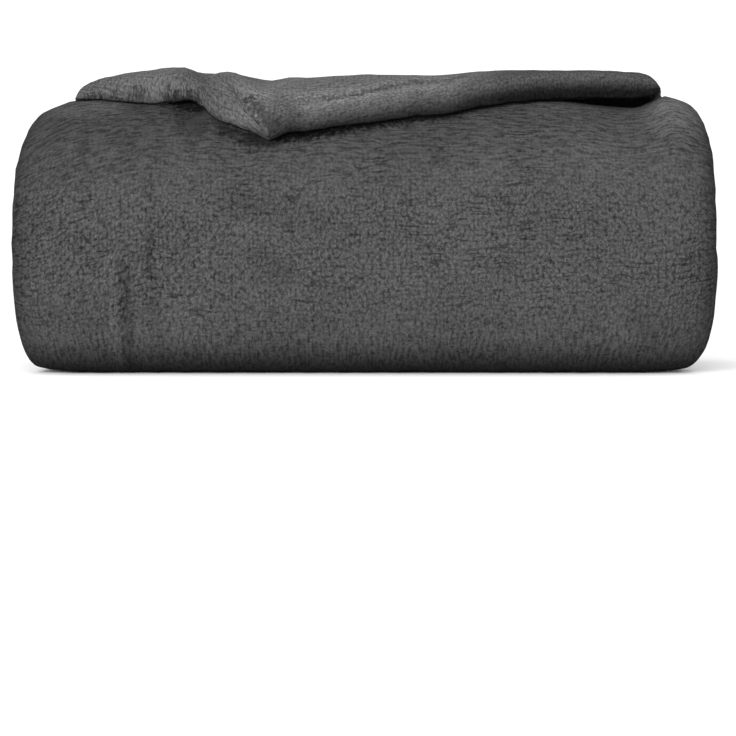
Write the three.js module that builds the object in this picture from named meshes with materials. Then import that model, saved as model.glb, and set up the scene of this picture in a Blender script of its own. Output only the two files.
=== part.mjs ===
import * as THREE from 'three';

// A plush fleece blanket: one sheet whose two sides are folded to the middle and then onto
// each other, four plies in all. That is folded back and forth into a stack of nine layers.
// The ninth layer is the last length of the sheet, laid loosely over the top as a flap.
// Millimetres, +Z up, the rounded front fold at -Y.

// Cloth. A ply is the fleece with the pile of both its faces.
const PLY_THICKNESS = 3.8;
const PLY_GAP = 0.6;
const PLY_COUNT = 4;
const PLY_PITCH = PLY_THICKNESS + PLY_GAP;
const LAYER_THICKNESS = PLY_COUNT * PLY_PITCH - PLY_GAP;

// Stack.
const FOLDED_WIDTH = 381;
const LAYER_GAP = 2.3;
const LAYER_PITCH = LAYER_THICKNESS + LAYER_GAP;
const BODY_LAYERS = 8;
const BODY_HEIGHT = BODY_LAYERS * LAYER_PITCH - LAYER_GAP;
const MIDDLE_HEIGHT = BODY_HEIGHT / 2;
const STRAIGHT_DEPTH = 162;      // flat part of each layer, between its front and back folds

// Front folds: a round fold pushed flatter, fuller below the middle than above it.
const FRONT_SQUASH = 0.86;
const FULLNESS_ABOVE = 2.25;
const FULLNESS_BELOW = 2.9;

// Ends: the stack narrows towards its top and bottom, and its corners sag or lift.
const DRAWN_ZONE = 124;
const CORNER_ZONE = 34;
const CORNER_SAG = { left: 16, right: 5 };
const CORNER_LIFT = 4;
const FRONT_CORNER_SETBACK = 9;

// Flap: its plies are pressed thinner than the stack's, and its ends thin to round edges.
const FLAP_THICKNESS = 10.8;
const FLAP_SHARE = FLAP_THICKNESS / LAYER_THICKNESS;
const FLAP_GAP = 1.6;
const FLAP_LEVEL = BODY_HEIGHT + FLAP_GAP + FLAP_THICKNESS / 2;
const FLAP_LYING = 0.3;          // share of its length, from the back, that lies flat
const FLAP_LOOSENING = 0.5;      // share over which it then comes loose
const FLAP_ENDS = {
  left: { x: -163, round: 42, thin: 0.75 },
  right: { x: 165, round: 20, thin: 0.5 },
};

const CLOTH_COLOUR = 0x565656;

// The four plies of a layer, in the order the sheet runs through them, from one hem to the
// other. level: place in the layer; way: +1 to the right. Both hems lie inside, at the wide
// turn on the right, and the outer plies turn in at the left.
const PLIES = [
  { level: 2, way: -1 },
  { level: 3, way: 1 },
  { level: 0, way: -1 },
  { level: 1, way: 1 },
];
const LEFT_END = PLY_PITCH / 2 + PLY_THICKNESS / 2;
const RIGHT_END = LAYER_THICKNESS / 2;
const TURN_STEPS = { wide: 4, narrow: 3 };
const PLY_STATIONS = [-164, -124, -92, -66, -50, -4, 38, 82, 130];

// The runs of the folded cloth between two folds, in the order the cloth takes. layer:
// place in the stack from the bottom; way: -1 to the front; steps: segments of the fold
// after it; reach: how far that fold sits beyond the even line of the folds.
const RUNS = [
  { layer: 9, way: 1, steps: 4, reach: 3.0 },
  { layer: 8, way: -1, steps: 10, reach: 0.0 },
  { layer: 1, way: 1, steps: 4, reach: -1.5 },
  { layer: 2, way: -1, steps: 6, reach: 0.0 },
  { layer: 7, way: 1, steps: 4, reach: 0.5 },
  { layer: 6, way: -1, steps: 5, reach: 0.0 },
  { layer: 3, way: 1, steps: 4, reach: 2.0 },
  { layer: 4, way: -1, steps: 4, reach: 0.0 },
  { layer: 5, way: 1, steps: 0, reach: 12.0 },
];

// The flap from its front edge to the back fold. along: share of its length; behind:
// distance behind the front edge; full: share of its thickness, least at the rounded edge;
// left and right: how far its ends are drawn in.
const FLAP_STATIONS = [
  { along: 1, behind: 0, full: 0.5, left: 28, right: 25.5 },
  { along: 1, behind: 1.8, full: 0.8, left: 28, right: 25.5 },
  { along: 1, behind: 6, full: 1, left: 28, right: 25.5 },
  { along: 0.92, behind: 0, full: 1, left: 27.5, right: 25 },
  { along: 0.84, behind: 0, full: 1, left: 26.5, right: 23.5 },
  { along: 0.66, behind: 0, full: 1, left: 23, right: 19 },
  { along: 0.33, behind: 0, full: 1, left: 15, right: 10 },
];

// The front edge of the flap. reach: how far it goes past the start of the front fold,
// measured over the cloth beneath it; lift: how far the flap stands off that cloth; swell:
// how much its upper face rises more than its lower.
const FLAP_EDGE = [
  { x: -163, reach: 14, lift: 0, swell: 0 },
  { x: -128, reach: 31, lift: 0, swell: 3 },
  { x: -108, reach: 41, lift: 0, swell: 4.5 },
  { x: -88, reach: 50, lift: 0, swell: 0.5 },
  { x: -66, reach: 56, lift: 0, swell: 0 },
  { x: -50, reach: 65, lift: 0, swell: 0 },
  { x: 0, reach: 63, lift: 0, swell: 0 },
  { x: 54, reach: 49, lift: 0, swell: 2.5 },
  { x: 76, reach: 38, lift: 0.5, swell: 3 },
  { x: 104, reach: 24, lift: 2, swell: 2.8 },
  { x: 128, reach: 18, lift: 3, swell: 2.8 },
  { x: 165, reach: 16, lift: 2.2, swell: 2.5 },
];

// How far each end of the stack is drawn in at a height.
const END_INSET = [
  { z: 0, left: 11, right: 11 },
  { z: 9, left: 5, right: 5 },
  { z: 20, left: 2.5, right: 2.5 },
  { z: 42, left: 0, right: 0 },
  { z: 104, left: 0.3, right: 0.4 },
  { z: 123, left: 1.8, right: 1.4 },
  { z: 133, left: 4.2, right: 2.6 },
  { z: 143, left: 8, right: 4.5 },
];

function ease(share) {
  const t = Math.min(Math.max(share, 0), 1);
  return t * t * (3 - 2 * t);
}

// Value of a column of a table at a place between its rows, straight from row to row.
function lookUp(rows, key, column, place) {
  const last = rows[rows.length - 1];
  if (place <= rows[0][key]) return rows[0][column];
  if (place >= last[key]) return last[column];
  const next = rows.findIndex((row) => row[key] > place);
  const low = rows[next - 1];
  const high = rows[next];
  const share = (place - low[key]) / (high[key] - low[key]);
  return low[column] + share * (high[column] - low[column]);
}

function layerHeight(layer) {
  return LAYER_THICKNESS / 2 + (layer - 1) * LAYER_PITCH;
}

function plyHeight(level) {
  return (level - (PLY_COUNT - 1) / 2) * PLY_PITCH;
}

// Centre line of the sheet across a layer, from hem to hem: points with the direction that
// stands off the sheet, in x and in the thickness of the layer.
function sectionLine() {
  const line = [];
  PLIES.forEach((ply, index) => {
    const n = plyHeight(ply.level);
    const places = [LEFT_END - FOLDED_WIDTH / 2, ...PLY_STATIONS, FOLDED_WIDTH / 2 - RIGHT_END];
    if (ply.way < 0) places.reverse();
    places.forEach((x) => line.push({ x, n, offX: 0, offN: ply.way }));
    const next = PLIES[index + 1];
    if (!next) return;
    // Half circle round to the next ply.
    const centreN = (n + plyHeight(next.level)) / 2;
    const radius = n - centreN;
    const steps = Math.abs(radius) > PLY_PITCH ? TURN_STEPS.wide : TURN_STEPS.narrow;
    for (let step = 1; step < steps; step += 1) {
      const angle = (Math.PI * step) / steps;
      line.push({
        x: places[places.length - 1] + ply.way * Math.abs(radius) * Math.sin(angle),
        n: centreN + radius * Math.cos(angle),
        offX: Math.sign(radius) * Math.sin(angle),
        offN: ply.way * Math.cos(angle),
      });
    }
  });
  return line;
}

// Closed outline of the folded sheet across a layer: one face, the rounded hem, the other
// face back, and the first hem.
function sectionOutline() {
  const line = sectionLine();
  const half = PLY_THICKNESS / 2;
  const face = (points, side) => points.map((p) => (
    { x: p.x + side * half * p.offX, n: p.n + side * half * p.offN }));
  const hem = (point) => ({ x: point.x + half, n: point.n });
  return [
    ...face(line, 1),
    hem(line[line.length - 1]),
    ...face(line, -1).reverse(),
    hem(line[0]),
  ];
}

// Stations along the folded length. Each has a centre in y and z and the direction of the
// layer's upper side; the flap's are placed later, because its edge changes with x.
function pathStations() {
  const stations = FLAP_STATIONS.map((row) => ({ flap: row }));
  RUNS.forEach((run, index) => {
    const z = layerHeight(run.layer);
    const to = (run.way > 0 ? STRAIGHT_DEPTH : 0) + run.reach;
    const next = RUNS[index + 1];
    if (!next) {
      stations.push({ y: to, z, offY: 0, offZ: -run.way });
      return;
    }
    const centreZ = (z + layerHeight(next.layer)) / 2;
    const radius = z - centreZ;
    for (let step = 0; step <= run.steps; step += 1) {
      const angle = (Math.PI * step) / run.steps;
      stations.push({
        y: to + run.way * Math.abs(radius) * Math.sin(angle),
        z: centreZ + radius * Math.cos(angle),
        offY: -Math.sign(radius) * Math.sin(angle),
        offZ: -run.way * Math.cos(angle),
      });
    }
  });
  return stations;
}

// How far the flap's thickness is gone at a place near one of its ends, 0 to 1.
function thinning(x) {
  const end = x < 0 ? FLAP_ENDS.left : FLAP_ENDS.right;
  const inside = Math.abs(end.x) - Math.abs(x);
  const near = Math.min(Math.max(1 - inside / end.round, 0), 1);
  return end.thin * (1 - Math.sqrt(1 - near * near));
}

// A point of the flap, given by its row, its place across and its height within a layer's
// thickness, downwards: flat over the stack, then bent down over the round front fold.
function flapPoint(row, x, n) {
  const radius = FLAP_LEVEL - MIDDLE_HEIGHT;
  const backFold = STRAIGHT_DEPTH + RUNS[0].reach;
  const edge = lookUp(FLAP_EDGE, 'x', 'reach', x);
  const forward = (backFold + edge) * row.along - backFold - row.behind;
  const thin = thinning(x);
  const through = n * FLAP_SHARE * row.full * (1 - thin);
  const upper = Math.min(Math.max(0.5 - through / FLAP_THICKNESS, 0), 1);
  const standing = lookUp(FLAP_EDGE, 'x', 'lift', x) + lookUp(FLAP_EDGE, 'x', 'swell', x) * upper;
  const loose = standing * ease((row.along - FLAP_LYING) / FLAP_LOOSENING) - thin * FLAP_THICKNESS / 2;
  const angle = Math.max(forward, 0) / radius;
  return {
    y: (forward > 0 ? -radius * Math.sin(angle) : -forward) + through * Math.sin(angle),
    z: MIDDLE_HEIGHT + (radius - through) * Math.cos(angle) + loose,
  };
}

// Shapes the front folds: round ones become fuller towards their corners and flatter.
function shapeFront(y, z) {
  if (y >= 0) return { y, z };
  const up = z - MIDDLE_HEIGHT;
  const distance = Math.hypot(y, up);
  const power = up > 0 ? FULLNESS_ABOVE : FULLNESS_BELOW;
  const sum = Math.abs(y / distance) ** power + Math.abs(up / distance) ** power;
  const swell = sum ** (-1 / power);
  return { y: y * swell * FRONT_SQUASH, z: MIDDLE_HEIGHT + up * swell };
}

// Place along the width after the ends are drawn in.
function drawIn(x, inset) {
  const nearEnd = ease((Math.abs(x) - FOLDED_WIDTH / 2) / DRAWN_ZONE + 1);
  return x - Math.sign(x) * inset * nearEnd;
}

// Final place of a point given by its place across the cloth, its height within the layer's
// thickness and its station along the folded length.
function place(point, station) {
  const side = point.x < 0 ? 'left' : 'right';
  const inset = station.flap
    ? station.flap[side]
    : lookUp(END_INSET, 'z', side, shapeFront(station.y, station.z).z);
  const x = drawIn(point.x, inset);
  const on = station.flap
    ? flapPoint(station.flap, x, point.n)
    : { y: station.y + point.n * station.offY, z: station.z + point.n * station.offZ };
  const shaped = shapeFront(on.y, on.z);
  const nearEnd = Math.max((Math.abs(x) - FOLDED_WIDTH / 2) / CORNER_ZONE + 1, 0) ** 2;
  const rise = shaped.z / BODY_HEIGHT;
  const sag = CORNER_SAG[side] * nearEnd * Math.min(rise, 1) ** 2;
  const lift = CORNER_LIFT * nearEnd * Math.max(1 - rise, 0) ** 3;
  const toFront = ease(-shaped.y / MIDDLE_HEIGHT);
  return new THREE.Vector3(
    x,
    shaped.y + FRONT_CORNER_SETBACK * nearEnd * toFront,
    shaped.z - sag + lift,
  );
}

// Closed skin over all stations, with both ends of the cloth closed.
function foldedCloth() {
  const outline = sectionOutline();
  const stations = pathStations();
  const count = outline.length;
  const corners = stations.flatMap((station) => outline.map((point) => place(point, station)));
  const faces = [];
  for (let ring = 0; ring < stations.length - 1; ring += 1) {
    for (let side = 0; side < count; side += 1) {
      const here = ring * count + side;
      const beside = ring * count + ((side + 1) % count);
      // Every quad is cut from its left corner here to its right corner in the next ring,
      // so neighbouring plies bend alike.
      if (outline[(side + 1) % count].x > outline[side].x) {
        faces.push([here, beside, beside + count], [here, beside + count, here + count]);
      } else {
        faces.push([here, beside, here + count], [beside, beside + count, here + count]);
      }
    }
  }
  // The end faces, as a strip between the two faces of the sheet: corner k of the outline
  // lies across the cloth from corner (count - 2 - k).
  const lastRing = (stations.length - 1) * count;
  for (let near = -1; near < count / 2 - 1; near += 1) {
    const far = count - 2 - near;
    const around = [(near + count) % count, near + 1, far - 1, far];
    const triangles = [
      [around[0], around[1], around[2]],
      [around[0], around[2], around[3]],
    ].filter((triangle) => new Set(triangle).size === 3);
    triangles.forEach((triangle) => {
      faces.push(triangle.slice().reverse());
      faces.push(triangle.map((corner) => corner + lastRing));
    });
  }
  return closedGeometry(corners, faces);
}

// Geometry with its faces turned outwards, centred over the origin and standing on z = 0.
function closedGeometry(corners, faces) {
  const volume = faces.reduce((sum, [a, b, c]) => (
    sum + corners[a].dot(new THREE.Vector3().crossVectors(corners[b], corners[c])) / 6), 0);
  const index = faces.flatMap(([a, b, c]) => (volume > 0 ? [a, b, c] : [a, c, b]));
  const geometry = new THREE.BufferGeometry().setFromPoints(corners);
  geometry.setIndex(index);
  geometry.computeBoundingBox();
  const { min, max } = geometry.boundingBox;
  geometry.translate(-(min.x + max.x) / 2, -(min.y + max.y) / 2, -min.z);
  geometry.computeVertexNormals();
  return geometry;
}

const blanket = new THREE.Mesh(
  foldedCloth(),
  new THREE.MeshStandardMaterial({ color: CLOTH_COLOUR, roughness: 0.95, metalness: 0 }),
);
blanket.name = 'blanket';

const part = new THREE.Group();
part.name = 'folded_fleece_blanket';
part.add(blanket);

export default part;
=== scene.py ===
import math

import bpy
import numpy as np
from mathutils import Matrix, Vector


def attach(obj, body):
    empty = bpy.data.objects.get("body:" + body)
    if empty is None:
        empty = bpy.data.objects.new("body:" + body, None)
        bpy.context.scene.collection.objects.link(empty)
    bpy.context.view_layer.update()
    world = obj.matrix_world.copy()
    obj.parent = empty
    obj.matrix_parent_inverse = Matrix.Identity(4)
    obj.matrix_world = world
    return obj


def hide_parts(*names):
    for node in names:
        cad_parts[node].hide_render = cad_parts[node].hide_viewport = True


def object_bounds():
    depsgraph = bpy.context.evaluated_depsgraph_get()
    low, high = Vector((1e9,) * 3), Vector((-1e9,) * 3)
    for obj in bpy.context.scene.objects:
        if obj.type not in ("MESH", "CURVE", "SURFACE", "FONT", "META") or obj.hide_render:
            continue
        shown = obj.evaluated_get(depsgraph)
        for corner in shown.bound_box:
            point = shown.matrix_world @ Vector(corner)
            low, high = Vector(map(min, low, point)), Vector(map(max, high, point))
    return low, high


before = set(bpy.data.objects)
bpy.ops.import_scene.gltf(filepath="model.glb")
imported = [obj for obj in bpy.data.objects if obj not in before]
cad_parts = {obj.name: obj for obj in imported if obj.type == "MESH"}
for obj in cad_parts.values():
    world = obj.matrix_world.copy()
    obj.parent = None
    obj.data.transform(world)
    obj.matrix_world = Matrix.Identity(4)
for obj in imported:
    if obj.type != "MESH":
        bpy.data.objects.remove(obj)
cad_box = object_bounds()

# The blanket: one sheet of plush fleece. Both its sides are folded to the middle and then
# onto each other, and the four plies are folded back and forth into a stack. The last
# length lies loosely over the top as a flap. One sheet, with its hems inside.

PLY_THICKNESS = 0.0038
PLY_GAP = 0.0006
PLY_PITCH = PLY_THICKNESS + PLY_GAP
PLY_COUNT = 4
LAYER_THICKNESS = PLY_COUNT * PLY_PITCH - PLY_GAP
FOLDED_WIDTH = 0.381
LAYER_GAP = 0.0023
LAYER_PITCH = LAYER_THICKNESS + LAYER_GAP
BODY_LAYERS = 8
BODY_HEIGHT = BODY_LAYERS * LAYER_PITCH - LAYER_GAP
MIDDLE_HEIGHT = BODY_HEIGHT / 2
STRAIGHT_DEPTH = 0.162

# The front folds: their depth as a share of a round one's, and how full they are towards
# their upper and lower corners, 2 for a circle.
FRONT_SQUASH = 0.86
FULLNESS_ABOVE = 2.25
FULLNESS_BELOW = 2.9

# The ends: the lengths over which they are drawn in and over which their corners change, and
# how far the upper corners sag, the lower ones lift and the front ones are set back.
DRAWN_ZONE = 0.124
CORNER_ZONE = 0.038
CORNER_SAG = {"left": 0.0155, "right": 0.005}
CORNER_LIFT = 0.004
FRONT_CORNER_LIFT = 0.011
FRONT_CORNER_SETBACK = 0.013

# The flap: the length over which each of its ends is rounded, the share of its thickness
# that it loses there, and its share of the front's unevenness.
FLAP_GAP = 0.0006
FLAP_THICKNESS = 0.0114
FLAP_LEVEL = BODY_HEIGHT + FLAP_GAP + FLAP_THICKNESS / 2
FLAP_ROUND = {"left": 0.034, "right": 0.014}
FLAP_THIN = {"left": 0.85, "right": 0.30}
FLAP_SHARE_OF_BULGE = 0.3

# How finely the folds are stepped, and how the flap's front edge and the free end are turned.
OUTER_FOLD_STEPS = 12
INNER_FOLD_STEPS = 7
HEM_STEPS = 3
FLAP_STEPS = 50
FLAP_EDGE_STEPS = 9
FLAP_EDGE_TURN = math.radians(150.0)
FLAP_EDGE_REACH = 0.003
FREE_END_DEGREES = (0.0, 35.0, 60.0, 82.0)

# How far the ends of the stack are drawn in at a height.
END_INSET = [
    {"z": 0.0, "left": 0.011, "right": 0.011},
    {"z": 0.009, "left": 0.004, "right": 0.003},
    {"z": 0.020, "left": 0.0016, "right": 0.0006},
    {"z": 0.042, "left": 0.0, "right": -0.0006},
    {"z": 0.084, "left": 0.0, "right": 0.0},
    {"z": 0.104, "left": 0.0003, "right": 0.0004},
    {"z": 0.123, "left": 0.0018, "right": 0.0014},
    {"z": 0.133, "left": 0.0042, "right": 0.0026},
    {"z": 0.143, "left": 0.0080, "right": 0.0045},
]

# The front edge of the flap. reach: how far it goes past the start of the front fold,
# over the cloth beneath it; lift: how far it stands off that cloth; swell: how far its
# top stands off its lower face.
FLAP_EDGE = [
    {"x": -0.160, "reach": 0.018, "lift": -0.0010, "swell": 0.0010},
    {"x": -0.147, "reach": 0.022, "lift": -0.0010, "swell": 0.0020},
    {"x": -0.128, "reach": 0.031, "lift": -0.0010, "swell": 0.0045},
    {"x": -0.113, "reach": 0.036, "lift": -0.0004, "swell": 0.0060},
    {"x": -0.101, "reach": 0.038, "lift": 0.0018, "swell": 0.0038},
    {"x": -0.0935, "reach": 0.0388, "lift": 0.0024, "swell": 0.0014},
    {"x": -0.0896, "reach": 0.0418, "lift": 0.0018, "swell": 0.0006},
    {"x": -0.0845, "reach": 0.0516, "lift": 0.0006, "swell": 0.0010},
    {"x": -0.079, "reach": 0.057, "lift": 0.0, "swell": 0.0018},
    {"x": -0.070, "reach": 0.062, "lift": 0.0, "swell": 0.0010},
    {"x": -0.061, "reach": 0.066, "lift": 0.0, "swell": 0.0},
    {"x": -0.051, "reach": 0.073, "lift": 0.0005, "swell": -0.0010},
    {"x": -0.044, "reach": 0.072, "lift": 0.0030, "swell": -0.0018},
    {"x": -0.030, "reach": 0.070, "lift": 0.0032, "swell": -0.0018},
    {"x": -0.005, "reach": 0.065, "lift": 0.0030, "swell": -0.0018},
    {"x": 0.020, "reach": 0.059, "lift": 0.0028, "swell": -0.0008},
    {"x": 0.048, "reach": 0.054, "lift": 0.0025, "swell": 0.0006},
    {"x": 0.059, "reach": 0.048, "lift": 0.0020, "swell": 0.0020},
    {"x": 0.076, "reach": 0.040, "lift": 0.0012, "swell": 0.0028},
    {"x": 0.102, "reach": 0.031, "lift": 0.0008, "swell": 0.0036},
    {"x": 0.128, "reach": 0.030, "lift": 0.0016, "swell": 0.0036},
    {"x": 0.150, "reach": 0.029, "lift": 0.0014, "swell": 0.0018},
    {"x": 0.163, "reach": 0.025, "lift": 0.0022, "swell": -0.0014},
]

# The flap from its back fold to its front edge. full: share of the layer's thickness;
# rise: share of the way from the even ninth layer to its own level; left and right: how far
# the ends are drawn in.
FLAP_SHARE = FLAP_THICKNESS / LAYER_THICKNESS
FLAP_LENGTH = [
    {"along": 0.0, "full": 1.0, "rise": 0.0, "left": 0.0080, "right": 0.0045},
    {"along": 0.33, "full": FLAP_SHARE, "rise": 1.0, "left": 0.015, "right": 0.010},
    {"along": 0.66, "full": FLAP_SHARE, "rise": 1.0, "left": 0.023, "right": 0.019},
    {"along": 0.84, "full": FLAP_SHARE, "rise": 1.0, "left": 0.0265, "right": 0.0235},
    {"along": 1.0, "full": FLAP_SHARE, "rise": 1.0, "left": 0.030, "right": 0.0270},
]

# The runs of the folded cloth, in the order it takes. way: -1 to the front; spacing:
# distance between stations; turn: stations in the fold after it; reach: how far that fold
# sits beyond the even line of the folds.
RUNS = [
    {"layer": 9, "way": 1, "spacing": 0.0, "turn": 9, "reach": 0.003},
    {"layer": 8, "way": -1, "spacing": 0.018, "turn": 37, "reach": 0.0},
    {"layer": 1, "way": 1, "spacing": 0.030, "turn": 9, "reach": -0.0015},
    {"layer": 2, "way": -1, "spacing": 0.040, "turn": 14, "reach": 0.0},
    {"layer": 7, "way": 1, "spacing": 0.040, "turn": 9, "reach": 0.0005},
    {"layer": 6, "way": -1, "spacing": 0.040, "turn": 11, "reach": 0.0},
    {"layer": 3, "way": 1, "spacing": 0.040, "turn": 9, "reach": 0.002},
    {"layer": 4, "way": -1, "spacing": 0.040, "turn": 7, "reach": 0.0},
    {"layer": 5, "way": 1, "spacing": 0.040, "turn": 0, "reach": 0.012},
]

# The four plies of a layer, from hem to hem. level: place in the layer; way: +1 to the
# right; spacing: distance between its points.
PLIES = [
    {"level": 2, "way": -1, "spacing": 0.014},
    {"level": 3, "way": 1, "spacing": 0.0050},
    {"level": 0, "way": -1, "spacing": 0.0050},
    {"level": 1, "way": 1, "spacing": 0.014},
]

# Soft creases and swellings of the flap. Each runs from one place to another, given by x
# and by the distance behind the front edge. rise: height, less than 0 for a trough. A crease
# fades out at CREASE_SPREAD times its width.
CREASE_SPREAD = 1.8
FLAP_CREASES = [
    {"x0": -0.068, "behind0": 0.020, "x1": -0.061, "behind1": 0.008, "wide": 0.0050, "rise": -0.0060},
    {"x0": -0.061, "behind0": 0.008, "x1": -0.050, "behind1": 0.000, "wide": 0.0034, "rise": -0.0035},
    {"x0": -0.060, "behind0": 0.060, "x1": -0.056, "behind1": 0.024, "wide": 0.0080, "rise": -0.0015},
    {"x0": -0.096, "behind0": 0.090, "x1": -0.0880, "behind1": 0.020, "wide": 0.0065, "rise": -0.0014},
    {"x0": -0.070, "behind0": 0.075, "x1": -0.0760, "behind1": 0.026, "wide": 0.0080, "rise": 0.0011},
    {"x0": -0.084, "behind0": 0.024, "x1": -0.070, "behind1": 0.008, "wide": 0.0070, "rise": 0.0020},
    {"x0": -0.040, "behind0": 0.016, "x1": -0.002, "behind1": 0.014, "wide": 0.0034, "rise": -0.0016},
    {"x0": 0.006, "behind0": 0.015, "x1": 0.048, "behind1": 0.020, "wide": 0.0034, "rise": -0.0016},
    {"x0": 0.020, "behind0": 0.060, "x1": 0.120, "behind1": 0.050, "wide": 0.014, "rise": -0.0015},
    {"x0": -0.130, "behind0": 0.060, "x1": -0.060, "behind1": 0.120, "wide": 0.020, "rise": -0.0015},
    {"x0": 0.060, "behind0": 0.110, "x1": 0.150, "behind1": 0.140, "wide": 0.018, "rise": -0.0015},
]

# Soft creases of the front, from one place to another, given by x and z.
FRONT_CREASES = [
    {"x0": -0.134, "z0": 0.070, "x1": -0.134, "z1": 0.004, "wide": 0.0045, "rise": 0.0026},
    {"x0": -0.129, "z0": 0.062, "x1": -0.128, "z1": 0.002, "wide": 0.0045, "rise": -0.0028},
    {"x0": -0.1135, "z0": 0.104, "x1": -0.1145, "z1": 0.062, "wide": 0.0045, "rise": -0.0020},
    {"x0": -0.1145, "z0": 0.062, "x1": -0.109, "z1": 0.006, "wide": 0.005, "rise": -0.0012},
    {"x0": -0.072, "z0": 0.092, "x1": -0.030, "z1": 0.086, "wide": 0.010, "rise": -0.0010},
    {"x0": -0.058, "z0": 0.068, "x1": -0.046, "z1": 0.052, "wide": 0.010, "rise": -0.0010},
    {"x0": 0.150, "z0": 0.034, "x1": 0.158, "z1": 0.018, "wide": 0.009, "rise": -0.0010},
]

# Shade and light painted on the front, darker, or lighter where dark is less than 0, from one
# place to another, given by x and z: painted shadow under the flap's edge and its left hump,
# painted shade along creases and a few darker patches of pile, and painted highlights on a
# ridge and on the left shoulder.
PAINTED_FRONT_MARKS = [
    {"x0": -0.112, "z0": 0.1480, "x1": -0.1005, "z1": 0.1480, "wide": 0.0016, "dark": 0.50},
    {"x0": -0.102, "z0": 0.1478, "x1": -0.0905, "z1": 0.1452, "wide": 0.0044, "dark": 0.95},
    {"x0": -0.100, "z0": 0.1440, "x1": -0.092, "z1": 0.1350, "wide": 0.0085, "dark": 0.40},
    {"x0": -0.0840, "z0": 0.1368, "x1": -0.0752, "z1": 0.1360, "wide": 0.0014, "dark": 0.50},
    {"x0": -0.076, "z0": 0.1330, "x1": -0.064, "z1": 0.1300, "wide": 0.0055, "dark": 0.60},
    {"x0": -0.064, "z0": 0.1290, "x1": -0.050, "z1": 0.1265, "wide": 0.0060, "dark": 0.70},
    {"x0": -0.048, "z0": 0.1292, "x1": -0.031, "z1": 0.1306, "wide": 0.0048, "dark": 0.95},
    {"x0": -0.031, "z0": 0.1306, "x1": -0.010, "z1": 0.1341, "wide": 0.0042, "dark": 0.93},
    {"x0": -0.010, "z0": 0.1341, "x1": 0.018, "z1": 0.1382, "wide": 0.0033, "dark": 0.88},
    {"x0": 0.018, "z0": 0.1382, "x1": 0.036, "z1": 0.1400, "wide": 0.0029, "dark": 0.84},
    {"x0": 0.036, "z0": 0.1400, "x1": 0.053, "z1": 0.1433, "wide": 0.0032, "dark": 0.76},
    {"x0": 0.053, "z0": 0.1433, "x1": 0.069, "z1": 0.1476, "wide": 0.0026, "dark": 0.70},
    {"x0": -0.072, "z0": 0.093, "x1": -0.026, "z1": 0.084, "wide": 0.009, "dark": 0.16},
    {"x0": -0.058, "z0": 0.066, "x1": -0.046, "z1": 0.054, "wide": 0.010, "dark": 0.16},
    {"x0": 0.148, "z0": 0.034, "x1": 0.156, "z1": 0.020, "wide": 0.010, "dark": 0.14},
    {"x0": -0.1135, "z0": 0.104, "x1": -0.1145, "z1": 0.058, "wide": 0.0022, "dark": 0.12},
    {"x0": -0.1145, "z0": 0.058, "x1": -0.108, "z1": 0.008, "wide": 0.0035, "dark": 0.08},
    {"x0": -0.129, "z0": 0.060, "x1": -0.128, "z1": 0.006, "wide": 0.004, "dark": 0.30},
    {"x0": -0.134, "z0": 0.062, "x1": -0.134, "z1": 0.006, "wide": 0.004, "dark": -0.22},
    {"x0": -0.114, "z0": 0.074, "x1": -0.1155, "z1": 0.058, "wide": 0.0022, "dark": 0.45},
    {"x0": -0.170, "z0": 0.147, "x1": -0.138, "z1": 0.150, "wide": 0.0085, "dark": -0.75},
]

# The same on the flap, from one place to another, given by x and by the length of cloth
# from its front edge: painted shade in its valley, in the trough behind its rolled edge and
# along that edge, painted highlights on the roll, and a few dark streaks in it.
PAINTED_FLAP_MARKS = [
    {"x0": -0.0625, "length0": 0.0215, "x1": -0.0585, "length1": 0.0170, "wide": 0.0040, "dark": 0.66},
    {"x0": -0.0580, "length0": 0.0170, "x1": -0.0480, "length1": 0.0080, "wide": 0.0062, "dark": 0.62},
    {"x0": -0.0470, "length0": 0.0200, "x1": -0.0400, "length1": 0.0090, "wide": 0.0090, "dark": 0.40},
    {"x0": -0.090, "length0": 0.0140, "x1": -0.074, "length1": 0.0180, "wide": 0.0140, "dark": 0.30},
    {"x0": -0.108, "length0": 0.0006, "x1": -0.0925, "length1": 0.0008, "wide": 0.0026, "dark": 0.64},
    {"x0": -0.155, "length0": 0.0012, "x1": -0.145, "length1": 0.0010, "wide": 0.0014, "dark": 0.50},
    {"x0": -0.138, "length0": 0.0020, "x1": -0.136, "length1": 0.0005, "wide": 0.0012, "dark": 0.60},
    {"x0": -0.130, "length0": 0.0015, "x1": -0.121, "length1": 0.0025, "wide": 0.0014, "dark": 0.50},
    {"x0": -0.0724, "length0": 0.0155, "x1": -0.0600, "length1": 0.0085, "wide": 0.0045, "dark": -0.32},
    {"x0": -0.0741, "length0": 0.0140, "x1": -0.0679, "length1": 0.0120, "wide": 0.0012, "dark": 0.60},
    {"x0": -0.0707, "length0": 0.0168, "x1": -0.0640, "length1": 0.0128, "wide": 0.0012, "dark": 0.60},
    {"x0": -0.042, "length0": 0.0205, "x1": -0.034, "length1": 0.0190, "wide": 0.0020, "dark": 0.34},
    {"x0": -0.034, "length0": 0.0190, "x1": -0.005, "length1": 0.0170, "wide": 0.0021, "dark": 0.42},
    {"x0": -0.005, "length0": 0.0170, "x1": 0.030, "length1": 0.0235, "wide": 0.0022, "dark": 0.42},
    {"x0": 0.030, "length0": 0.0235, "x1": 0.056, "length1": 0.0225, "wide": 0.0020, "dark": 0.34},
    {"x0": -0.040, "length0": 0.0310, "x1": 0.016, "length1": 0.0320, "wide": 0.0085, "dark": 0.15},
    {"x0": -0.020, "length0": 0.0125, "x1": 0.040, "length1": 0.0165, "wide": 0.0030, "dark": -0.14},
]

# Slow random unevenness, as a sum of waves. height: how far it goes up and down; size: of
# one lump.
UNEVENNESS = {
    "pile": {"height": 0.00025, "size": 0.017, "seed": 3},
    "edge": {"height": 0.0005, "size": 0.012, "seed": 21},
    "flap": {"height": 0.0012, "size": 0.09, "seed": 11},
    "front": {"height": 0.0016, "size": 0.10, "seed": 5},
}
WAVE_COUNT = 14

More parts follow.
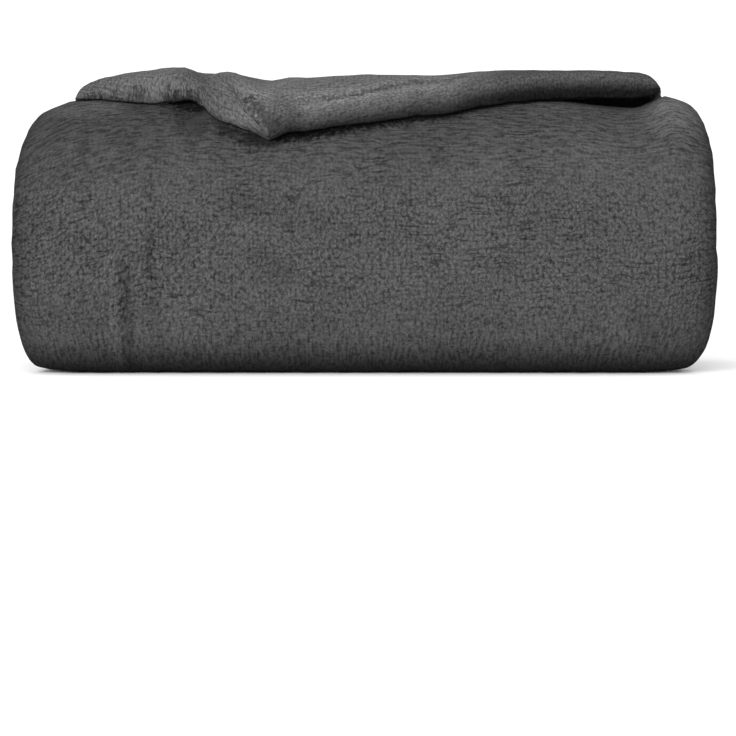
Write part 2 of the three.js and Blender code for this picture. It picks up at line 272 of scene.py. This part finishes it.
# The stack's top dips under the flap's right part, by x, and swells again at its end. It is
# level again towards the back.
DIP = {"depth": 0.0044, "from_x": 0.100, "full_after": 0.046, "to_x": 0.168, "fades_in": 0.018}
DIP_END = {"height": 0.0028, "x": 0.168, "half_width": 0.015}
DIP_BACK = {"y": 0.10, "fades_in": 0.08}


def ease(share):
    """0 to 1, level at both ends."""
    held = np.clip(share, 0.0, 1.0)
    return held * held * (3.0 - 2.0 * held)


def column(rows, key, name, place):
    """A table's column at a place, on a smooth line through its rows."""
    keys = np.array([row[key] for row in rows])
    values = np.array([row[name] for row in rows])
    slopes = np.gradient(values, keys)
    held = np.clip(place, keys[0], keys[-1])
    low = np.clip(np.searchsorted(keys, held, side="right") - 1, 0, len(keys) - 2)
    width = keys[low + 1] - keys[low]
    t = (held - keys[low]) / width
    start = (2 * t**3 - 3 * t**2 + 1) * values[low] + (t**3 - 2 * t**2 + t) * width * slopes[low]
    return start + (3 * t**2 - 2 * t**3) * values[low + 1] + (t**3 - t**2) * width * slopes[low + 1]


def unevenness(kind, across, along):
    """Smooth random rise and fall over the cloth, of one kind."""
    row = UNEVENNESS[kind]
    chance = np.random.default_rng(row["seed"])
    total = np.zeros(np.broadcast(across, along).shape)
    for _ in range(WAVE_COUNT):
        angle = chance.uniform(0.0, 2.0 * math.pi)
        pitch = row["size"] * chance.uniform(0.75, 1.5)
        phase = chance.uniform(0.0, 2.0 * math.pi)
        place = across * math.cos(angle) + along * math.sin(angle)
        total += np.cos(2.0 * math.pi / pitch * place + phase)
    return row["height"] * (total / math.sqrt(WAVE_COUNT))


def layer_height(layer):
    """The middle of a layer, counted from 1 at the bottom."""
    return LAYER_THICKNESS / 2 + (layer - 1) * LAYER_PITCH


def ply_height(level):
    """The middle of a ply, from the middle of its layer."""
    return (level - (PLY_COUNT - 1) / 2) * PLY_PITCH


def section():
    """The sheet's outline across a layer, hem to hem and back: columns of a dict."""
    left = PLY_PITCH / 2 + PLY_THICKNESS / 2 - FOLDED_WIDTH / 2
    right = FOLDED_WIDTH / 2 - LAYER_THICKNESS / 2
    line = []
    for index, ply in enumerate(PLIES):
        n = ply_height(ply["level"])
        top = 1.0 if ply["level"] == 0 else 0.0
        steps = math.ceil((right - left) / ply["spacing"])
        places = np.linspace(left, right, steps + 1)
        for x in places if ply["way"] > 0 else places[::-1]:
            line.append((x, n, 0.0, ply["way"], top))
        if index == len(PLIES) - 1:
            break
        after = PLIES[index + 1]
        centre = (n + ply_height(after["level"])) / 2
        radius = n - centre
        turn = OUTER_FOLD_STEPS if abs(radius) > PLY_PITCH else INNER_FOLD_STEPS
        end = right if ply["way"] > 0 else left
        for step in range(1, turn):
            angle = math.pi * step / turn
            share = float(ease(step / turn))
            line.append((
                end + ply["way"] * abs(radius) * math.sin(angle),
                centre + radius * math.cos(angle),
                math.copysign(math.sin(angle), radius),
                ply["way"] * math.cos(angle),
                top + share * ((1.0 if after["level"] == 0 else 0.0) - top),
            ))
    points = np.array(line)
    across = np.concatenate([[0.0], np.cumsum(np.hypot(*np.diff(points[:, :2], axis=0).T))])
    closed = []
    for side, order in ((1.0, range(len(line))), (-1.0, range(len(line) - 1, -1, -1))):
        for k in order:
            x, n, off_x, off_n, top = line[k]
            closed.append((x, n, side * off_x, side * off_n, top, across[k]))
        x, n, off_x, off_n, top = line[order[-1]]
        for step in range(1, HEM_STEPS):
            angle = math.pi * step / HEM_STEPS
            closed.append((x, n, math.sin(angle), side * off_n * math.cos(angle), top, across[order[-1]]))
    names = ("x", "n", "off_x", "off_n", "top", "across")
    return dict(zip(names, np.array(closed).T[:, None, :]))


def stations():
    """Places along the folded length, from the flap's front edge to the inner end."""
    rows = []
    for step in range(FLAP_EDGE_STEPS, 0, -1):
        share = step / FLAP_EDGE_STEPS
        rows.append({
            "flap": 1.0,
            "along": 1.0,
            "behind": -FLAP_EDGE_REACH * share,
            "curl": FLAP_EDGE_TURN * share,
        })
    for step in range(FLAP_STEPS, 0, -1):
        rows.append({"flap": 1.0, "along": step / FLAP_STEPS})
    start = 0.0
    for index, run in enumerate(RUNS):
        z = layer_height(run["layer"])
        end = (STRAIGHT_DEPTH if run["way"] > 0 else 0.0) + run["reach"]
        if run["spacing"]:
            steps = math.ceil(abs(end - start) / run["spacing"])
            for step in range(1, steps):
                y = start + (end - start) * step / steps
                rows.append({"y": y, "z": z, "off_y": 0.0, "off_z": -run["way"]})
        if not run["turn"]:
            for degrees in FREE_END_DEGREES:
                round_off = math.radians(degrees)
                rows.append({
                    "y": end + PLY_THICKNESS / 2 * math.sin(round_off),
                    "z": z,
                    "off_z": -run["way"],
                    "hem": 1.0 - math.cos(round_off),
                })
            break
        centre = (z + layer_height(RUNS[index + 1]["layer"])) / 2
        radius = z - centre
        for step in range(run["turn"] + 1):
            angle = math.pi * step / run["turn"]
            rows.append({
                "y": end + run["way"] * abs(radius) * math.sin(angle),
                "z": centre + radius * math.cos(angle),
                "off_y": -math.copysign(math.sin(angle), radius),
                "off_z": -run["way"] * math.cos(angle),
            })
        start = end
    names = ("flap", "along", "behind", "curl", "y", "z", "off_y", "off_z", "hem")
    return {name: np.array([row.get(name, 0.0) for row in rows])[:, None] for name in names}


def shape_front(y, z):
    """Makes the round front folds fuller towards their corners, and flatter."""
    up = z - MIDDLE_HEIGHT
    distance = np.maximum(np.hypot(y, up), 1e-9)
    power = np.where(up > 0, FULLNESS_ABOVE, FULLNESS_BELOW)
    swell = ((np.abs(y) / distance) ** power + (np.abs(up) / distance) ** power) ** (-1 / power)
    front = y < 0
    return np.where(front, y * swell * FRONT_SQUASH, y), np.where(front, MIDDLE_HEIGHT + up * swell, z)


def draw_in(x, inset):
    """Draws both ends of the stack in, most at the very end."""
    return x - np.sign(x) * inset * ease((np.abs(x) - FOLDED_WIDTH / 2) / DRAWN_ZONE + 1.0)


def dipped(x):
    """How far the stack's top lies lower under the flap's right part."""
    grown = ease((x - DIP["from_x"]) / DIP["full_after"])
    dip = DIP["depth"] * grown * ease((DIP["to_x"] - x) / DIP["fades_in"])
    return dip - DIP_END["height"] * ease(1.0 - np.abs(x - DIP_END["x"]) / DIP_END["half_width"])


def creased(creases, first, second, ends):
    """Height of all the creases at places given by two coordinates."""
    total = 0.0
    for crease in creases:
        a = np.array([crease[ends[0]], crease[ends[1]]])
        b = np.array([crease[ends[2]], crease[ends[3]]])
        run = b - a
        share = np.clip(((first - a[0]) * run[0] + (second - a[1]) * run[1]) / run.dot(run), 0.0, 1.0)
        away = np.hypot(first - a[0] - share * run[0], second - a[1] - share * run[1])
        total = total + crease["rise"] * ease(1.0 - away / (CREASE_SPREAD * crease["wide"]))
    return total


def end_inset(run, flap, side):
    """How far one end of the cloth is drawn in at each station."""
    _, rest_z = shape_front(run["y"], run["z"])
    on_flap = column(FLAP_LENGTH, "along", side, run["along"])
    return np.where(flap, on_flap, column(END_INSET, "z", side, rest_z))


def thinned(x, along):
    """Share of its thickness that the flap loses towards its rounded ends."""
    thin = 0.0
    for side, last in (("left", FLAP_EDGE[0]["x"]), ("right", FLAP_EDGE[-1]["x"])):
        near = np.clip(1.0 - np.abs(x - last) / FLAP_ROUND[side], 0.0, 1.0)
        near = np.where(np.abs(x) > abs(last), 1.0, near)
        near = np.where(x * last > 0, near, 0.0)
        # It grows over the first third of the flap.
        thin = thin + FLAP_THIN[side] * (1.0 - np.sqrt(1.0 - near**2)) * ease(along * 3.0)
    return thin


def settled(x, y, z, flap):
    """The whole cloth with sagging corners, set back, and a creased and uneven front."""
    near_end = np.clip((np.abs(x) - FOLDED_WIDTH / 2) / CORNER_ZONE + 1.0, 0.0, 1.0)
    near_end = near_end**2
    rise = z / BODY_HEIGHT
    to_front = ease(-y / MIDDLE_HEIGHT)
    bulge = creased(FRONT_CREASES, x, z, ("x0", "z0", "x1", "z1"))
    bulge = bulge + unevenness("front", x, z)
    bulge = bulge * to_front * np.where(flap, FLAP_SHARE_OF_BULGE, 1.0)
    y = y + FRONT_CORNER_SETBACK * near_end * to_front - bulge
    sag = np.where(x < 0, CORNER_SAG["left"], CORNER_SAG["right"])
    z = z - sag * near_end * np.minimum(rise, 1.0) ** 2
    dip = dipped(x) * ease((rise - 0.5) * 2.0) * ease((DIP_BACK["y"] - y) / DIP_BACK["fades_in"])
    z = z - np.where(flap, 0.0, dip)
    corner_lift = CORNER_LIFT + FRONT_CORNER_LIFT * to_front
    return x, y, z + corner_lift * near_end * np.maximum(1.0 - rise, 0.0) ** 3


# The flap's mean reach over the front fold, and how far its rolled edge goes down.
MEAN_FLAP_REACH = 0.03
FLAP_EDGE_DEPTH = 0.01


def middle_line(run):
    """Roughly where each station lies, to measure the cloth's length by."""
    level = layer_height(BODY_LAYERS + 1)
    flap_y = -((STRAIGHT_DEPTH + MEAN_FLAP_REACH) * run["along"] - STRAIGHT_DEPTH)
    y = np.where(run["flap"] > 0.5, flap_y, run["y"])
    z = np.where(run["flap"] > 0.5, level - FLAP_EDGE_DEPTH * np.sin(run["curl"] / 2), run["z"])
    return np.concatenate([y, z], axis=1)


def folded():
    """Corner places, and the cloth's own coordinates, of the whole folded sheet."""
    cut = section()
    run = stations()
    flap = run["flap"] > 0.5
    full = np.where(flap, column(FLAP_LENGTH, "along", "full", run["along"]), 1.0)
    inset = np.where(cut["x"] < 0, end_inset(run, flap, "left"), end_inset(run, flap, "right"))
    # A place that changes all along the cloth, so that no two layers are uneven alike.
    along_cloth = run["along"] * 0.23 + run["y"] + run["z"] * 1.3
    half = (PLY_THICKNESS / 2 + unevenness("pile", cut["across"], along_cloth)) * (1.0 - run["hem"])
    n = (cut["n"] + half * cut["off_n"]) * full
    x = draw_in(cut["x"] + half * cut["off_x"], inset)

    # The flap: flat over the stack, bent down over the front fold, its top ply curled
    # round the ends of the others.
    even = layer_height(BODY_LAYERS + 1)
    level = even + (FLAP_LEVEL - even) * column(FLAP_LENGTH, "along", "rise", run["along"])
    radius = level - MIDDLE_HEIGHT
    back = STRAIGHT_DEPTH + RUNS[0]["reach"]
    nose = FLAP_THICKNESS / 2
    edge = column(FLAP_EDGE, "x", "reach", x) - nose + unevenness("edge", x, 0.0)
    curl = run["curl"] * cut["top"]
    forward = (back + edge) * run["along"] - back - run["behind"] - n * np.sin(curl)
    bent = np.maximum(forward, 0.0) / radius
    thin = thinned(x, run["along"])
    through = np.where(flap, n * np.cos(curl) * (1.0 - thin), n)
    # It stands off the stack more and more towards the front. Its lower face stays even:
    # swellings and creases move its upper face alone.
    standing = ease((run["along"] - 0.3) * 2.0)
    share = np.clip(0.5 - through / FLAP_THICKNESS, 0.0, 1.0)
    loose = (column(FLAP_EDGE, "x", "lift", x) + column(FLAP_EDGE, "x", "swell", x) * share) * standing
    crease = creased(FLAP_CREASES, x, edge + nose - forward, ("x0", "behind0", "x1", "behind1"))
    crease = crease + unevenness("flap", x, forward) * ease(run["along"] * 1.5)
    loose = loose + crease * share
    loose = loose - thin * FLAP_THICKNESS / 2
    y = np.where(flap, np.where(forward > 0, -radius * np.sin(bent), -forward), run["y"])
    z = np.where(flap, MIDDLE_HEIGHT + radius * np.cos(bent) + loose, run["z"])
    off_y = np.where(flap, np.sin(bent), run["off_y"])
    off_z = np.where(flap, -np.cos(bent), run["off_z"])
    y, z = shape_front(y + through * off_y, z + through * off_z)
    x, y, z = settled(x, y, z, flap)
    along = np.concatenate([[0.0], np.cumsum(np.hypot(*np.diff(middle_line(run), axis=0).T))])
    across = np.broadcast_to(cut["across"], x.shape)
    return np.stack([x, y, z], axis=-1), across, np.broadcast_to(along[:, None], x.shape)


def skin(name, corners, across, along):
    """A closed mesh over a grid of corners, with the cloth's coordinates as its UV map."""
    rings, count = corners.shape[:2]
    here = np.arange(rings - 1)[:, None] * count + np.arange(count)[None, :]
    beside = np.arange(rings - 1)[:, None] * count + (np.arange(count)[None, :] + 1) % count
    quads = np.stack([here, beside, beside + count, here + count], axis=-1).reshape(-1, 4)
    faces = quads.tolist()
    # Both ends of the cloth, closed by a strip between its two faces.
    half = count // 2
    last = (rings - 1) * count
    for near in range(-1, half - 1):
        far = count - 2 - near
        around = [near % count, near + 1, far - 1, far]
        if len(set(around)) < 4:
            around = list(dict.fromkeys(around))
        faces.append(around[::-1])
        faces.append([corner + last for corner in around])
    mesh = bpy.data.meshes.new(name)
    mesh.from_pydata(corners.reshape(-1, 3).tolist(), [], faces)
    a, b, c, d = (corners.reshape(-1, 3)[quads[:, k]] for k in range(4))
    if np.einsum("ij,ij->", a, np.cross(b, c)) + np.einsum("ij,ij->", a, np.cross(c, d)) < 0:
        mesh.flip_normals()
    cloth = mesh.uv_layers.new(name="cloth")
    at = np.empty(len(mesh.loops), dtype=np.int32)
    mesh.loops.foreach_get("vertex_index", at)
    places = np.stack([across.reshape(-1)[at], along.reshape(-1)[at]], axis=-1)
    cloth.data.foreach_set("uv", places.astype(np.float32).reshape(-1))
    mesh.shade_smooth()
    mesh.update()
    return mesh


corners, across, along = folded()
low = corners.reshape(-1, 3).min(axis=0)
high = corners.reshape(-1, 3).max(axis=0)
cad_low = np.array(cad_box[0])
cad_high = np.array(cad_box[1])
corners[..., 1] += (cad_low[1] + cad_high[1] - low[1] - high[1]) / 2
corners[..., 2] = np.maximum(corners[..., 2], 0.0)

blanket = bpy.data.objects.new("fleece_sheet", skin("fleece_sheet", corners, across, along))
bpy.context.scene.collection.objects.link(blanket)


class Shade:
    """One output of a material's nodes, which takes part in Python's own sums."""

    def __init__(self, tree, socket=None):
        self.tree = tree
        self.socket = socket

    def node(self, kind, settings, values, output=0):
        """One output of a new node, with its inputs set or linked by name or number."""
        made = self.tree.nodes.new(kind)
        for name, value in settings.items():
            setattr(made, name, value)
        for name, value in values.items():
            if isinstance(value, Shade):
                self.tree.links.new(value.socket, made.inputs[name])
            else:
                made.inputs[name].default_value = value
        return Shade(self.tree, made.outputs[output]) if len(made.outputs) else None

    def maths(self, operation, first, second):
        """One sum of two values."""
        return self.node("ShaderNodeMath", {"operation": operation}, {0: first, 1: second})

    def __add__(self, other):
        return self.maths("ADD", self, other)

    __radd__ = __add__

    def __mul__(self, other):
        return self.maths("MULTIPLY", self, other)

    __rmul__ = __mul__

    def __sub__(self, other):
        return self.maths("SUBTRACT", self, other)

    def __rsub__(self, other):
        return self.maths("SUBTRACT", other, self)

    def __truediv__(self, other):
        return self.maths("DIVIDE", self, other)

    def __pow__(self, other):
        return self.maths("POWER", self, other)

    def constant(self, value):
        """A number as an output of the same tree."""
        return self.maths("ADD", value, 0.0)

    def held(self):
        """Kept from 0 to 1."""
        above = self.maths("MAXIMUM", self, 0.0)
        return above.maths("MINIMUM", above, 1.0)

    def toward(self, other, share):
        """Moved towards another by a share."""
        return self + (other - self) * share

    def between(self, low, high):
        """0 below low, 1 above high, smooth between them."""
        return self.node(
            "ShaderNodeMapRange",
            {"interpolation_type": "SMOOTHSTEP", "clamp": True},
            {"Value": self, "From Min": low, "From Max": high, "To Min": 0.0, "To Max": 1.0},
        )


def cloth_place(lay, across_scale, along_scale, offset):
    """A place in the cloth, at a pattern's own two scales."""
    across, along = lay
    return across.node("ShaderNodeCombineXYZ", {}, {
        "X": across * across_scale + offset,
        "Y": along * along_scale + offset,
        "Z": 0.0,
    })


def noise(lay, across_scale, along_scale, detail, offset=0.0):
    """Soft random patches, 0 to 1."""
    at = cloth_place(lay, across_scale, along_scale, offset)
    return at.node(
        "ShaderNodeTexNoise",
        {"noise_dimensions": "2D"},
        {"Vector": at, "Scale": 1.0, "Detail": detail, "Roughness": 0.55},
    )


def cells(lay, across_scale, along_scale, randomness, offset=0.0):
    """0 at the middles of uneven cells, rising towards their borders."""
    at = cloth_place(lay, across_scale, along_scale, offset)
    return at.node(
        "ShaderNodeTexVoronoi",
        {"voronoi_dimensions": "2D", "feature": "F1"},
        {"Vector": at, "Scale": 1.0, "Randomness": randomness},
    )


def marked(marks, side, second, name, ragged):
    """Dark or light where marks lie, given by x and a second coordinate; 1 elsewhere."""
    dark = side.constant(1.0)
    light = 1.0
    for mark in marks:
        run_x = mark["x1"] - mark["x0"]
        run_second = mark[name + "1"] - mark[name + "0"]
        beside = side + ragged - mark["x0"]
        above = second + ragged - mark[name + "0"]
        share = ((beside * run_x + above * run_second) / (run_x**2 + run_second**2)).held()
        away = (beside - share * run_x) ** 2.0 + (above - share * run_second) ** 2.0
        near = 1.0 - (away ** 0.5).between(0.2 * mark["wide"], 1.4 * mark["wide"])
        tone = 1.0 - near * mark["dark"]
        if mark["dark"] > 0:
            dark = dark.maths("MINIMUM", dark, tone)
        else:
            light = light * tone
    return dark * light


def flap_painted_shading(side, length):
    """Painted light on the flap's top, and painted shade under its rolled edge, most to the right."""
    left = 1.12 + length.between(0.0, 0.003) * 0.45 + length.between(0.005, 0.015) * 0.80
    middle = 0.30 + length.between(0.0005, 0.015) * 2.05
    right = 0.14 + length.between(0.0012, 0.0062) * 0.96 + length.between(0.005, 0.050) * 1.30
    roll = left.toward(middle, side.between(-0.066, -0.046))
    roll = roll.toward(right, side.between(0.035, 0.085))
    return roll * (1.0 - length.between(0.05, 0.20) * 0.45)


def front_painted_shading(side, height, body):
    """Painted shade and light on the stack, by x, height and share of body."""
    # Painted shade below the flap, least to the right, and painted light at the right shoulder.
    painted_tone = 1.0 - body * height.between(0.090, 0.140) * (0.27 - side.between(0.02, 0.10) * 0.16)
    painted_tone = painted_tone * (1.0 + body * side.between(0.06, 0.12) * height.between(0.140, 0.149) * 0.30)
    painted_tone = painted_tone * (1.0 + body * side.between(0.142, 0.165) * height.between(0.126, 0.142) * 0.60)
    # Painted shade at the floor and at both ends, and a little darker over the left part.
    painted_tone = painted_tone * (1.0 - (1.0 - height.between(-0.002, 0.022)) * 0.78)
    painted_tone = painted_tone * (0.46 + side.between(-0.196, -0.176) * 0.54)
    painted_tone = painted_tone * (1.0 - side.between(0.174, 0.194) * 0.50)
    return painted_tone * (0.93 + side.between(-0.17, -0.09) * 0.07)


# The fleece's grey, the height of its pile's relief, and the length of cloth, from the flap's
# front edge, where the flap ends and the stack begins.
FLEECE_TONE = 0.0272
RELIEF_HEIGHT = 0.0011
FLAP_CLOTH_END = (0.232, 0.240)


def fleece():
    """Short brushed pile: clumps a little over 2 mm apart, lying in soft streaks."""
    material = bpy.data.materials.new("fleece")
    material.use_nodes = True
    tree = material.node_tree
    tree.nodes.clear()
    start = Shade(tree)
    cloth = start.node("ShaderNodeUVMap", {"uv_map": "cloth"}, {})
    across = start.node("ShaderNodeSeparateXYZ", {}, {"Vector": cloth}, 0)
    length = start.node("ShaderNodeSeparateXYZ", {}, {"Vector": cloth}, 1)
    place = start.node("ShaderNodeTexCoord", {}, {}, "Object")
    height = start.node("ShaderNodeSeparateXYZ", {}, {"Vector": place}, 2)
    side = start.node("ShaderNodeSeparateXYZ", {}, {"Vector": place}, 0)
    body = length.between(*FLAP_CLOTH_END)
    upper = height.between(0.085, 0.130)
    lower = 1.0 - height.between(0.004, 0.050)

    # The pile's lay wanders, and slants at the left. Round the flap's front edge the cloth
    # is longer than its coordinate.
    even = (across, length)
    ragged = (noise(even, 420.0, 420.0, 2.0, 8.8) - 0.5) * 0.010
    wander = noise(even, 45.0, 45.0, 2.0, 9.1) * 0.004
    slant = side.maths("MINIMUM", side + 0.115, 0.0) * 0.22
    round_edge = (length.maths("MINIMUM", length, 0.010) - 0.010) * 0.6
    lay = (across, length + round_edge + wander + slant)

    # Tufts, woollier at the left.
    tufts = 1.0 - cells(lay, 440.0, 460.0, 0.7).between(0.12, 0.72)
    fine = noise(lay, 1050.0, 1050.0, 1.0, 5.3).between(0.32, 0.74)
    lumps = noise(lay, 340.0, 360.0, 1.0, 6.6).between(0.3, 0.7)
    wool = 0.12 + (1.0 - side.between(-0.11, -0.04)) * 0.14
    tufts = tufts * 0.40 + noise(lay, 620.0, 620.0, 1.0).between(0.3, 0.7) * 0.26 + fine * 0.38
    tufts = tufts + (lumps - 0.5) * wool

    # Streaks: the pile lies flat near the top and stands upright towards the floor.
    flat_streaks = noise(lay, 120.0, 660.0, 2.0, 7.3).between(0.32, 0.62)
    upright_streaks = noise(lay, 600.0, 150.0, 2.0, 3.1).between(0.32, 0.62)
    upright = lower * 0.5
    flat = upper * (0.20 + body * 0.30)
    clumps = tufts * (1.0 - flat - upright) + flat_streaks * flat + upright_streaks * upright

    # Partings and pits, where one sees between the tufts.
    patches = noise(lay, 16.0, 22.0, 2.0, 2.2).between(0.44, 0.60)
    partings = 1.0 - noise(lay, 80.0, 720.0, 2.0, 11.7).between(0.30, 0.39)
    partings = partings * (0.20 + patches * 0.60) * (1.0 - lower) * body
    pits = 1.0 - cells(lay, 210.0, 230.0, 1.0, 3.3).between(0.08, 0.30)
    pits = pits * noise(lay, 90.0, 90.0, 1.0, 4.4).between(0.5, 0.62)

    # The tone, with painted shade and highlights on the flap and the front: shadows under the flap, shade
    # in creases and at the floor and ends, and light on the flap's top.
    brushed = noise(lay, 26.0, 34.0, 3.0, 5.5).between(0.30, 0.70)
    grain = (clumps - 0.5) * (0.036 + length.between(0.04, 0.09) * 0.003)
    grain = grain * (1.0 - upper * body * 0.10)
    tone = FLEECE_TONE + grain + brushed * 0.004
    tone = tone * (1.0 - partings * 0.5) * (1.0 - pits * 0.3 * body)
    roll = flap_painted_shading(side, length) * marked(PAINTED_FLAP_MARKS, side, length, "length", ragged)
    marks = roll.toward(marked(PAINTED_FRONT_MARKS, side, height, "z", ragged), body)
    tone = tone * front_painted_shading(side, height, body) * marks

    colour = start.node("ShaderNodeCombineColor", {}, {"Red": tone, "Green": tone, "Blue": tone})
    relief = clumps * 0.7 - partings * 0.8 - pits * 0.4
    bump = start.node(
        "ShaderNodeBump",
        {},
        {"Strength": 0.8, "Distance": RELIEF_HEIGHT, "Height": relief},
    )
    surface = start.node("ShaderNodeBsdfPrincipled", {}, {
        "Base Color": colour,
        "Roughness": 0.95,
        "Specular IOR Level": 0.0,
        "Sheen Weight": 0.01,
        "Sheen Roughness": 0.5,
        "Normal": bump,
    })
    start.node("ShaderNodeOutputMaterial", {}, {"Surface": surface})
    return material


blanket.data.materials.append(fleece())
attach(blanket, "root")
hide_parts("blanket")

# The camera looks almost level at the front fold, a little to the right of its middle. PIXEL
# is the size of what one pixel of the frame shows there.
CAMERA_DISTANCE = 1.30
CAMERA_RISE = math.radians(2.5)
AIM = (0.0018, -0.06, 0.002)
PIXEL = 0.000562
FRAME_PIXELS = 736

camera_data = bpy.data.cameras.new("camera")
camera_data.sensor_width = 36.0
camera_data.lens = camera_data.sensor_width * CAMERA_DISTANCE / (PIXEL * FRAME_PIXELS)
camera = bpy.data.objects.new("camera", camera_data)
camera.location = (
    AIM[0],
    AIM[1] - CAMERA_DISTANCE * math.cos(CAMERA_RISE),
    AIM[2] + CAMERA_DISTANCE * math.sin(CAMERA_RISE),
)
camera.rotation_euler = (math.pi / 2 - CAMERA_RISE, 0.0, 0.0)
bpy.context.scene.collection.objects.link(camera)
bpy.context.scene.camera = camera

# The room: a plain pale floor, even light from all round and a large soft lamp in front.
FLOOR_HALF = 30.0

floor_mesh = bpy.data.meshes.new("floor")
floor_mesh.from_pydata(
    [(x * FLOOR_HALF, y * FLOOR_HALF, 0.0) for x, y in ((-1, -1), (1, -1), (1, 1), (-1, 1))],
    [],
    [(0, 1, 2, 3)],
)
floor = bpy.data.objects.new("floor", floor_mesh)
bpy.context.scene.collection.objects.link(floor)
floor_material = bpy.data.materials.new("floor")
floor_material.use_nodes = True
floor_surface = floor_material.node_tree.nodes["Principled BSDF"]
floor_surface.inputs["Base Color"].default_value = (0.88, 0.88, 0.88, 1.0)
floor_surface.inputs["Roughness"].default_value = 0.9
floor_mesh.materials.append(floor_material)

world = bpy.data.worlds.new("room")
world.use_nodes = True
world.node_tree.nodes["Background"].inputs["Color"].default_value = (1.0, 1.0, 1.0, 1.0)
world.node_tree.nodes["Background"].inputs["Strength"].default_value = 1.15
bpy.context.scene.world = world

LAMP_PLACE = (-0.4, -2.3, 0.45)
LAMP_AIM_HEIGHT = 0.08

lamp_data = bpy.data.lights.new("front", "AREA")
lamp_data.shape = "DISK"
lamp_data.size = 1.5
lamp_data.energy = 150.0
lamp = bpy.data.objects.new("front", lamp_data)
lamp.location = LAMP_PLACE
lamp.rotation_euler = (
    math.atan2(-LAMP_PLACE[1], LAMP_PLACE[2] - LAMP_AIM_HEIGHT),
    0.0,
    -math.atan2(-LAMP_PLACE[0], -LAMP_PLACE[1]),
)
bpy.context.scene.collection.objects.link(lamp)
bpy.context.scene.view_settings.view_transform = "Standard"
